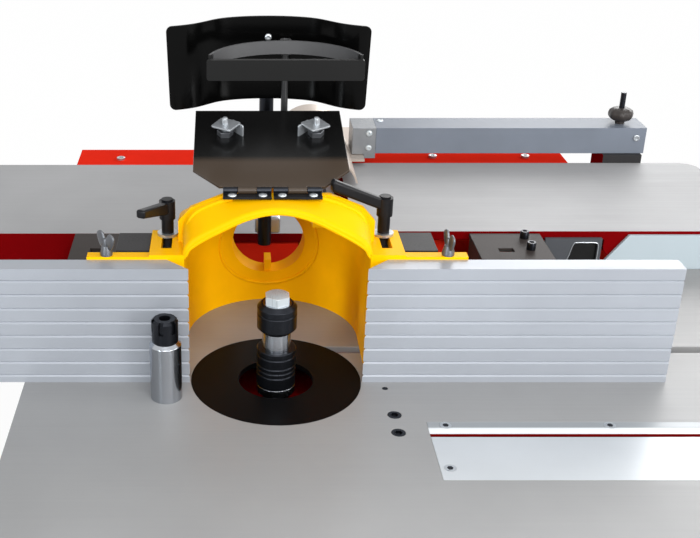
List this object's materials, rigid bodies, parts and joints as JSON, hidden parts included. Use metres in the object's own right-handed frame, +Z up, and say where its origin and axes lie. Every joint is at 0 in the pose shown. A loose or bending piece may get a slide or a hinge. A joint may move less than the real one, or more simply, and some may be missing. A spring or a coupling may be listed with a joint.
{
  "type": "combination woodworking machine",
  "caption": "Combination woodworking machine: saw and spindle moulder table with yellow hood and ribbed fences, and a surface planer with bridge guard behind, on a sheet cabinet.",
  "frame": {"origin": "bottom centre of the bounding box, on the floor", "axes": "+X right along the feed as seen from the saw side, +Y to the planer at the rear, +Z up"},
  "size_m": [1.254, 1.045, 1.201],
  "materials": {
    "plinth_grey": "satin",
    "cabinet_pale": "satin",
    "table_iron": "ground",
    "black_steel": "satin",
    "insert_aluminium": "satin",
    "screw_steel": "satin",
    "bright_steel": "satin",
    "casting": "rough",
    "motor_grey": "satin",
    "pulley_aluminium": "turned",
    "belt_rubber": "matte",
    "black_plastic": "satin",
    "red_paint": "gloss",
    "arm_grey": "satin",
    "zinc": "zinc plated",
    "guard_aluminium": "anodised",
    "hood_yellow": "gloss",
    "fence_aluminium": "anodised",
    "dark_casting": "satin"
  },
  "bodies": {
    "frame": {"base_frame": "plinth_grey", "front_panel": "cabinet_pale", "rear_panel": "cabinet_pale", "left_panel": "cabinet_pale", "right_panel": "cabinet_pale", "main_table": "table_iron", "table_ring": "black_steel", "saw_insert": "insert_aluminium", "insert_strip": "insert_aluminium", "table_screws": "screw_steel", "spindle_guides": "bright_steel", "saw_guides": "bright_steel", "planer_frame": "red_paint", "outfeed_table": "table_iron", "planer_skirt": "cabinet_pale", "rear_ledge": "red_paint", "guard_pedestal": "dark_casting", "hood": "hood_yellow", "carrier_left": "dark_casting", "hood_hinges": "black_steel", "rear_brackets": "dark_casting", "router_arbor": "bright_steel"},
    "spindle_unit": {"spindle_carriage": "casting", "spindle_bearings": "bright_steel", "spindle_motor": "motor_grey", "spindle_belt": "belt_rubber"},
    "spindle": {"spindle_shaft": "bright_steel", "spacer_rings": "black_steel", "spindle_bolt": "zinc"},
    "spindle_drive": {"spindle_motor_pulley": "pulley_aluminium"},
    "spindle_wheel": {"spindle_lift_shaft": "bright_steel", "spindle_handwheel": "black_plastic"},
    "saw_unit": {"saw_carriage": "casting", "saw_motor": "motor_grey"},
    "saw": {"saw_arbor": "bright_steel", "saw_blade": "bright_steel", "saw_flange": "bright_steel"},
    "saw_wheel": {"saw_lift_shaft": "bright_steel", "saw_handwheel": "black_plastic"},
    "cutter": {"cutter_block": "bright_steel", "planer_knives": "bright_steel"},
    "infeed": {"infeed_table": "table_iron"},
    "bridge_arm": {"guard_arm": "arm_grey", "guard_bracket": "zinc"},
    "bridge_knob": {"guard_knob": "black_plastic"},
    "bridge_guard": {"guard_blade": "guard_aluminium"},
    "left_fence": {"fence_left": "fence_aluminium"},
    "right_carrier": {"carrier_right": "dark_casting"},
    "right_fence": {"fence_right": "fence_aluminium"},
    "depth_knob": {"adjuster_knob": "black_plastic"},
    "left_lever": {"lever_left": "black_steel"},
    "right_lever": {"lever_right": "black_steel"},
    "cover": {"hood_cover": "black_steel", "cover_clips": "zinc", "post_clamp": "dark_casting", "guard_posts": "black_steel"},
    "shield": {"visor": "black_plastic"},
    "bow": {"pressure_bow": "black_plastic"},
    "collet": {"collet_nut": "black_steel"}
  },
  "joints": [
    {"name": "spindle_lift", "type": "slide", "parent": "frame", "child": "spindle_unit", "axis": [0, 0, 1], "range_m": [-0.05, 0.015]},
    {"name": "spindle_turn", "type": "hinge", "parent": "spindle_unit", "child": "spindle", "pos_m": [-0.107, -0.1575, 0.87], "axis": [0, 0, 1], "continuous": true},
    {"name": "spindle_drive_turn", "type": "hinge", "parent": "spindle_unit", "child": "spindle_drive", "pos_m": [-0.107, 0.0325, 0.65], "axis": [0, 0, 1], "continuous": true},
    {"name": "spindle_wheel_turn", "type": "hinge", "parent": "frame", "child": "spindle_wheel", "pos_m": [-0.2221, -0.4565, 0.73], "axis": [0, 1, 0], "range_deg": [-72, 239]},
    {"name": "saw_lift", "type": "slide", "parent": "frame", "child": "saw_unit", "axis": [0, 0, 1], "range_m": [0, 0.07]},
    {"name": "saw_turn", "type": "hinge", "parent": "saw_unit", "child": "saw", "pos_m": [0.236, -0.2643, 0.725], "axis": [0, 1, 0], "continuous": true},
    {"name": "saw_wheel_turn", "type": "hinge", "parent": "frame", "child": "saw_wheel", "pos_m": [0.0759, -0.4565, 0.75], "axis": [0, 1, 0], "range_deg": [-335, 0]},
    {"name": "cutter_turn", "type": "hinge", "parent": "frame", "child": "cutter", "pos_m": [-0.028, 0.2535, 0.8835], "axis": [0, 1, 0], "continuous": true},
    {"name": "infeed_lift", "type": "slide", "parent": "frame", "child": "infeed", "axis": [0, 0, 1], "range_m": [-0.001, 0.003]},
    {"name": "bridge_lift", "type": "slide", "parent": "frame", "child": "bridge_arm", "axis": [0, 0, 1], "range_m": [0, 0.03]},
    {"name": "bridge_knob_turn", "type": "hinge", "parent": "bridge_arm", "child": "bridge_knob", "pos_m": [0.426, 0.4155, 0.983], "axis": [0, 0, 1], "range_deg": [-360, 360]},
    {"name": "bridge_slide", "type": "slide", "parent": "bridge_arm", "child": "bridge_guard", "axis": [0, 1, 0], "range_m": [-0.105, 0]},
    {"name": "left_fence_slide", "type": "slide", "parent": "frame", "child": "left_fence", "axis": [1, 0, 0], "range_m": [-0.015, 0.045]},
    {"name": "right_depth", "type": "slide", "parent": "frame", "child": "right_carrier", "axis": [0, 1, 0], "range_m": [-0.006, 0]},
    {"name": "right_fence_slide", "type": "slide", "parent": "right_carrier", "child": "right_fence", "axis": [1, 0, 0], "range_m": [-0.045, 0.015]},
    {"name": "depth_knob_turn", "type": "hinge", "parent": "right_carrier", "child": "depth_knob", "pos_m": [0.051, -0.0645, 0.97], "axis": [0, 1, 0], "range_deg": [-541, 0]},
    {"name": "left_lever_turn", "type": "hinge", "parent": "frame", "child": "left_lever", "pos_m": [-0.222, -0.0875, 1.03], "axis": [0, 0, 1], "range_deg": [-60, 20]},
    {"name": "right_lever_turn", "type": "hinge", "parent": "right_carrier", "child": "right_lever", "pos_m": [0.008, -0.0875, 1.03], "axis": [0, 0, 1], "range_deg": [0, 90]},
    {"name": "cover_hinge", "type": "hinge", "parent": "frame", "child": "cover", "pos_m": [-0.112, -0.1065, 1.0645], "axis": [1, 0, 0], "range_deg": [0, 95]},
    {"name": "visor_slide", "type": "slide", "parent": "cover", "child": "shield", "axis": [0, 0, 1], "range_m": [-0.008, 0.015]},
    {"name": "bow_slide", "type": "slide", "parent": "cover", "child": "bow", "axis": [0, 0, 1], "range_m": [-0.025, 0]},
    {"name": "collet_turn", "type": "hinge", "parent": "frame", "child": "collet", "pos_m": [-0.2213, -0.1925, 0.948], "axis": [0, 0, 1], "range_deg": [-360, 360]}
  ],
  "couplings": [
    {"joint": "spindle_turn", "follows": "spindle_drive_turn", "ratio": 1.4286},
    {"joint": "spindle_wheel_turn", "follows": "spindle_lift", "rad_per_m": -83.333},
    {"joint": "saw_wheel_turn", "follows": "saw_lift", "rad_per_m": -83.333},
    {"joint": "depth_knob_turn", "follows": "right_depth", "rad_per_m": 1570.8}
  ]
}
